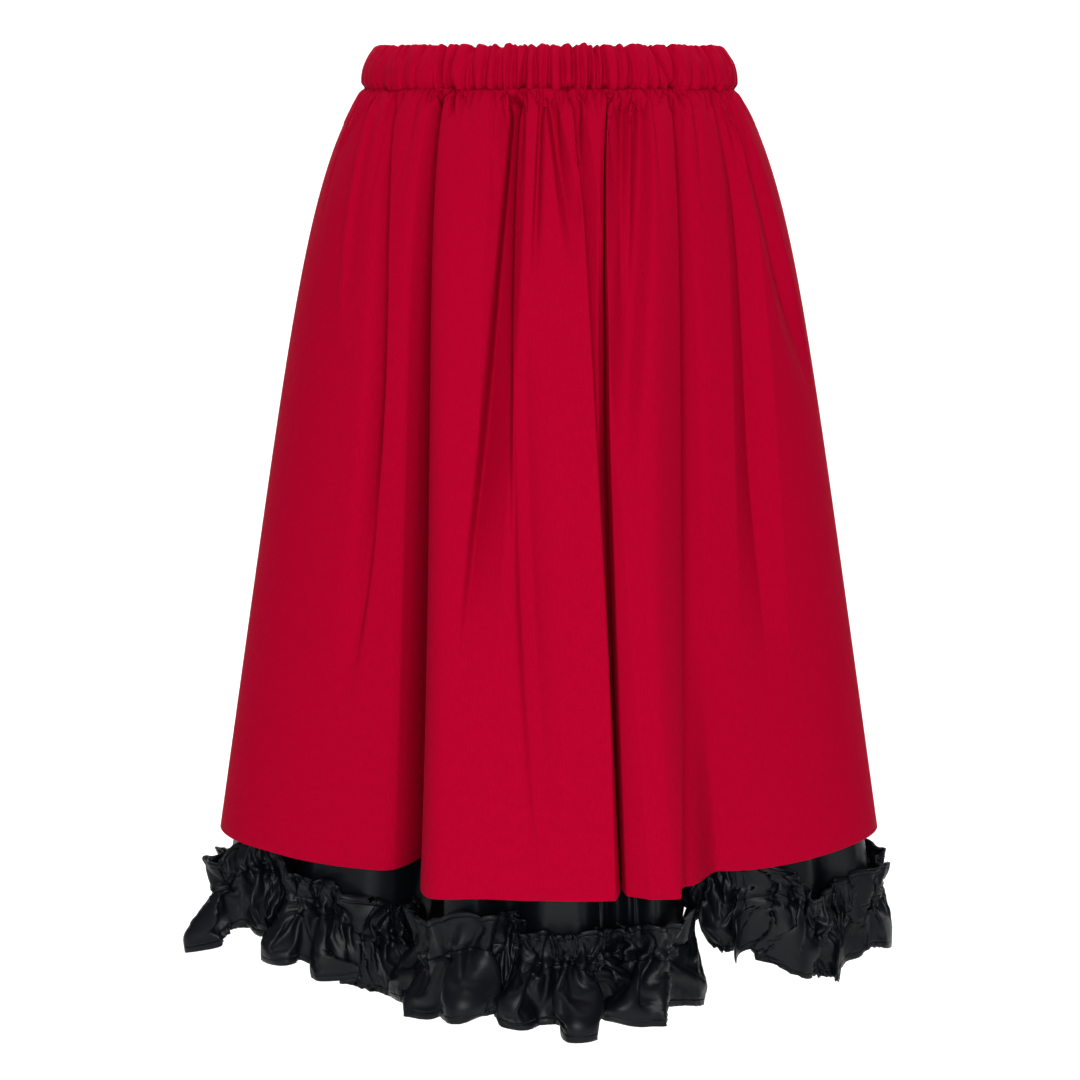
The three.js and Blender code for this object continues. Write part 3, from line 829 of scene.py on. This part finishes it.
def gatheredRing(base, normal, fullness, total):
    # meander: the strip's direction swings by an angle that is a sine along it, with short waves at
    # the stitches giving way to long ones at the edges, so every row takes up the same length
    taken = np.concatenate([[0], np.cumsum(fullness)]) * total / len(fullness)
    length = taken[-1]
    strip = np.linspace(0, length, ruffle["columns"], endpoint=False)
    step = strip[1]
    plain = np.interp(strip, taken, np.linspace(0, total, len(taken)))
    full = np.interp(plain, np.linspace(0, total, len(fullness)), fullness)
    up = -np.arange(ruffle["rowStep"], ruffle["header"] + 1, ruffle["rowStep"])[::-1]
    down = np.arange(0, ruffle["flounce"] + 1, ruffle["rowStep"])
    below = np.concatenate([up, down])[:, None].astype(float)
    away = np.abs(below)
    angles = np.linspace(0, 2, 200)
    phases = np.linspace(0, 2 * np.pi, 121)[:-1]
    shortened = np.cos(angles[:, None] * swing(phases)).mean(axis=1)
    share = ease(away / ruffle["reach"])
    turn = 0
    for wave, part, k in ((ruffle["firstWave"], 1 - share, 0),
                          (ruffle["headerWave"], share * (below < 0), 1),
                          (ruffle["flounceWave"], share * (below >= 0), 2)):
        uneven = smoothNoise(ruffle["seed"] + k, strip, wave * ruffle["waveSpan"], octaves=2)
        cycles = np.cumsum(1 / np.exp(ruffle["waveSpread"] * uneven))
        cycles = cycles / cycles[-1] * round(length / wave)
        angle = np.interp(-(1 / full[None, :]) ** part, -shortened, angles)
        turn = turn + angle * swing(2 * np.pi * cycles)[None, :]
    x = np.cumsum(np.cos(turn), axis=1)
    x = x / x[:, -1:] * total
    drift = x - plain
    x = plain + drift - ringSmoothed(drift, ruffle["evenOver"] / step)
    y = np.cumsum(np.sin(turn), axis=1) * step
    y = y - ringSmoothed(y, ruffle["centreOver"] / step)
    y = y - y.min(axis=1, keepdims=True) * ruffle["outShare"] * (away > 0) + ruffle["lift"] * (away == 0)
    out = ruffle["seat"] + np.maximum(y, 0)
    out = out + ruffle["headerLean"] * np.where(below < 0, (below / ruffle["header"])**2, 0)
    at = (x / total * len(base)) % len(base)
    here = at.astype(int) % len(base)
    following = (here + 1) % len(base)
    mix = (at - at.astype(int))[..., None]
    points = base[here] * (1 - mix) + base[following] * mix
    face = normal[here] * (1 - mix) + normal[following] * mix
    points[..., :2] += face * out[..., None]
    points[..., 2] -= below
    return points, strip, below, length


def settle(points, strip, below, length, obstacle):
    # the ring starts as gathered, with the plain ring that it would make ungathered as its rest shape,
    # is let fall with its stitches held, and is read back where it comes to lie
    rows, columns = points.shape[:2]
    index = np.arange(rows * columns).reshape(rows, columns)
    beside = np.roll(index, -1, axis=1)
    quads = np.stack([index[:-1], index[1:], beside[1:], beside[:-1]], axis=-1).reshape(-1, 4)
    mesh = bpy.data.meshes.new("ruffle_strip")
    mesh.from_pydata((points.reshape(-1, 3) * mm).tolist(), [], quads.tolist())
    sheet = bpy.data.objects.new("ruffle_strip", mesh)
    bpy.context.collection.objects.link(sheet)
    sheet.shape_key_add(name="Basis")
    flat = sheet.shape_key_add(name="flat")
    radius, turn = length / 2 / np.pi, (strip / length * 2 * np.pi)[None]
    laid = np.stack(np.broadcast_arrays(radius * np.sin(turn), -radius * np.cos(turn), -below), axis=-1)
    flat.data.foreach_set("co", (laid * mm).ravel())
    group = sheet.vertex_groups.new(name="stitches")
    group.add(index[int(np.argmin(np.abs(below)))].tolist(), 1.0, "REPLACE")
    modifier = sheet.modifiers.new("fall", "CLOTH")
    own = modifier.settings
    own.quality = settling["quality"]
    own.mass = settling["weight"]
    own.air_damping = settling["air"]
    own.tension_stiffness = own.compression_stiffness = settling["stretch"]
    own.shear_stiffness = settling["shear"]
    own.bending_stiffness = settling["bending"]
    own.vertex_group_mass = "stitches"
    own.rest_shape_key = flat
    touch = modifier.collision_settings
    touch.use_self_collision = True
    touch.self_distance_min = touch.distance_min = settling["apart"] * mm
    touch.self_friction = settling["friction"]
    touch.collision_quality = settling["collisionQuality"]
    for body in obstacle:
        body.modifiers.new("stop", "COLLISION")
        body.collision.thickness_outer = settling["outer"] * mm
        body.collision.thickness_inner = settling["inner"] * mm
    modifier.point_cache.frame_start = 1
    modifier.point_cache.frame_end = settling["frames"]
    for number in range(1, settling["frames"] + 1):
        bpy.context.scene.frame_set(number)
    fallen = sheet.evaluated_get(bpy.context.evaluated_depsgraph_get()).to_mesh()
    final = np.empty(rows * columns * 3)
    fallen.vertices.foreach_get("co", final)
    bpy.context.scene.frame_set(1)
    for body in obstacle:
        body.modifiers.remove(body.modifiers["stop"])
    bpy.data.objects.remove(sheet)
    return final.reshape(rows, columns, 3) / mm


def tuckUnder(points, seat):
    # above the red hem the ruffle stays within the skirt, and from there down it may stand out more and
    # more; places keep their order, as a reach r in a room R becomes r / (1 + (r/R)^4)^(1/4)
    fine = np.linspace(-90, 270, tuck["fineColumns"])
    hem = hang(skirtFolds, fine, rowsTo([(cloth["hemLength"], 24)]), lambda v: 0)[-1]
    ring = np.arange(-180, 180, 0.5)

    def innermost(line, value, window):
        # least value of a line round the skirt in each half degree and its neighbours, then smoothed
        at = np.round((np.degrees(np.arctan2(line[:, 0], -line[:, 1])) + 180) * 2).astype(int) % 720
        least = np.full(720, np.inf)
        np.minimum.at(least, at, value)
        least = np.min([np.roll(least, k) for k in range(-window, window + 1)], axis=0)
        return ringSmoothed(least, 2 * window + 1)

    wall = innermost(hem, np.hypot(hem[:, 0], hem[:, 1]), 4)
    level = -innermost(hem, -hem[:, 2], 4)
    start = innermost(seat, np.hypot(seat[:, 0], seat[:, 1]), 2) - tuck["behind"]
    angle = np.degrees(np.arctan2(points[..., 0], -points[..., 1]))
    reach = np.hypot(points[..., 0], points[..., 1])
    wall, level, start = (np.interp(angle, ring, values, period=360) for values in (wall, level, start))
    room = np.maximum(tuck["least"], wall - tuck["behind"] - start)
    room = room + tuck["spread"] * np.maximum(0, level - points[..., 2])
    room = np.minimum(room, np.interp(angle, *np.transpose(standOut)))
    out = np.maximum(0, reach - start)
    moved = (reach - out + out / (1 + (out / room)**4)**0.25) / reach
    points[..., :2] *= moved[..., None]
    return points


def buildRuffle(obstacle):
    base, normal, fullness, total = ruffleRing()
    points, strip, below, length = gatheredRing(base, normal, fullness, total)
    points = settle(points, strip, below, length, obstacle)
    points = tuckUnder(points, base)
    bearing = np.unwrap(np.arctan2(points[:, :, 0], -points[:, :, 1]).mean(axis=0))
    middle = np.argmin(np.abs(bearing - np.pi / 2))
    across, down = np.meshgrid(strip, below[:, 0])
    plain = np.stack([across, -down], axis=-1)
    for half, columns in (("front", slice(0, middle + 1)), ("back", slice(middle, None))):
        cut, uv = points[:, columns], plain[:, columns]
        if half == "back":
            cut = np.concatenate([cut, points[:, :1]], axis=1)
            uv = np.concatenate([uv, uv[:, -1:] + [strip[1], 0]], axis=1)
        cut, uv = turnEdge(cut, uv, hems["turn"], ruffle["rowStep"], hems["gap"])
        cut, uv = turnEdge(cut[::-1], uv[::-1], hems["turn"], ruffle["rowStep"], -hems["gap"])
        piece = gridMesh("ruffle_" + half + "_cloth", cut[::-1], uv[::-1])
        addWall(piece, ruffle["wall"])
        placePiece(piece, hemmedSatin, ["ruffle_" + half])


for half in halves:
    buildSkirt(half)
    buildCasing(half)
    print("skirt and casing made:", half)
buildRuffle([buildUnderskirt(half) for half in halves])
print("ruffle made")

# Studio: a white floor that bends up into a wall, in metres; drop is how far it lies under the skirt
stage = dict(drop=0.36, width=9, front=4.0, back=1.6, bend=1.2, rise=3.2, paint="#f4f4f4", roughness=0.9)
low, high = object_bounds()

# Emulsion paint, rolled: matt white with hardly a sheen
floorMaterial, floorTree, floorOut = newMaterial("white emulsion paint")
floorShader = addNode(floorTree, "ShaderNodeBsdfPrincipled",
                      inputs={"Base Color": linearOf(stage["paint"]), "Roughness": stage["roughness"]})
floorTree.links.new(floorShader.outputs[0], floorOut.inputs[0])


def buildStage():
    # profile of a straight, a quarter circle and a straight, carried sideways
    turn = np.radians(np.linspace(0, 90, 17))
    y = np.concatenate([[-stage["front"]], stage["back"] + stage["bend"] * np.sin(turn),
                        [stage["back"] + stage["bend"]]])
    z = np.concatenate([[0], stage["bend"] * (1 - np.cos(turn)), [stage["rise"]]]) + low.z - stage["drop"]
    x = np.array([-stage["width"] / 2, stage["width"] / 2])
    grid = np.stack([np.broadcast_to(x, (len(y), 2)), np.broadcast_to(y[:, None], (len(y), 2)),
                     np.broadcast_to(z[:, None], (len(y), 2))], axis=-1)
    sweep = gridMesh("studio_sweep", grid / mm, grid[..., :2] / mm, flip=True)
    sweep.data.materials.append(floorMaterial)


buildStage()

ambient = 0.08
world = bpy.data.worlds.new("studio")
bpy.context.scene.world = world
world.use_nodes = True
world.node_tree.nodes["Background"].inputs[0].default_value = (1, 1, 1, 1)
world.node_tree.nodes["Background"].inputs[1].default_value = ambient

# Softboxes: place, what each is aimed at (none: the middle of the skirt), width and height, watts
softboxes = [
    ("softbox_front", (0.05, -2.6, 0.1), None, (1.3, 1.3), 52),
    ("softbox_left", (-2.2, -1.2, 0.4), None, (1.4, 2.2), 2),
    ("softbox_right", (2.2, -1.2, 0.4), None, (1.4, 2.2), 0.3),
    ("backdrop_wash", (0, 0.9, 2.2), (0, 2.8, -0.6), (4, 1), 130),
    ("floor_wash", (0, -0.6, 2.6), (0, 0.6, -1), (4, 1), 30),
]


def addSoftbox(name, place, aim, size, power):
    # rectangular area light that faces what it is aimed at
    data = bpy.data.lights.new(name, "AREA")
    data.shape = "RECTANGLE"
    data.size, data.size_y = size
    data.energy = power
    lamp = bpy.data.objects.new(name, data)
    lamp.location = place
    lamp.rotation_euler = (Vector(aim) - Vector(place)).to_track_quat("-Z", "Y").to_euler()
    bpy.context.collection.objects.link(lamp)


for name, place, aim, size, power in softboxes:
    addSoftbox(name, place, aim or (low + high) / 2, size, power)
print("studio lit with", len(softboxes), "softboxes")

# Camera: metres, degrees that it looks down, and mm of lens on a sensor 36 mm wide
view = dict(side=-0.0068, distance=1.9, height=-0.008, pitch=9.79, lens=85, sensor=36)
cameraData = bpy.data.cameras.new("camera")
cameraData.lens = view["lens"]
cameraData.sensor_width = view["sensor"]
camera = bpy.data.objects.new("camera", cameraData)
camera.location = (view["side"], -view["distance"], view["height"])
camera.rotation_euler = (math.radians(90 - view["pitch"]), 0, 0)
bpy.context.collection.objects.link(camera)
bpy.context.scene.camera = camera
bpy.context.scene.view_settings.view_transform = "Standard"
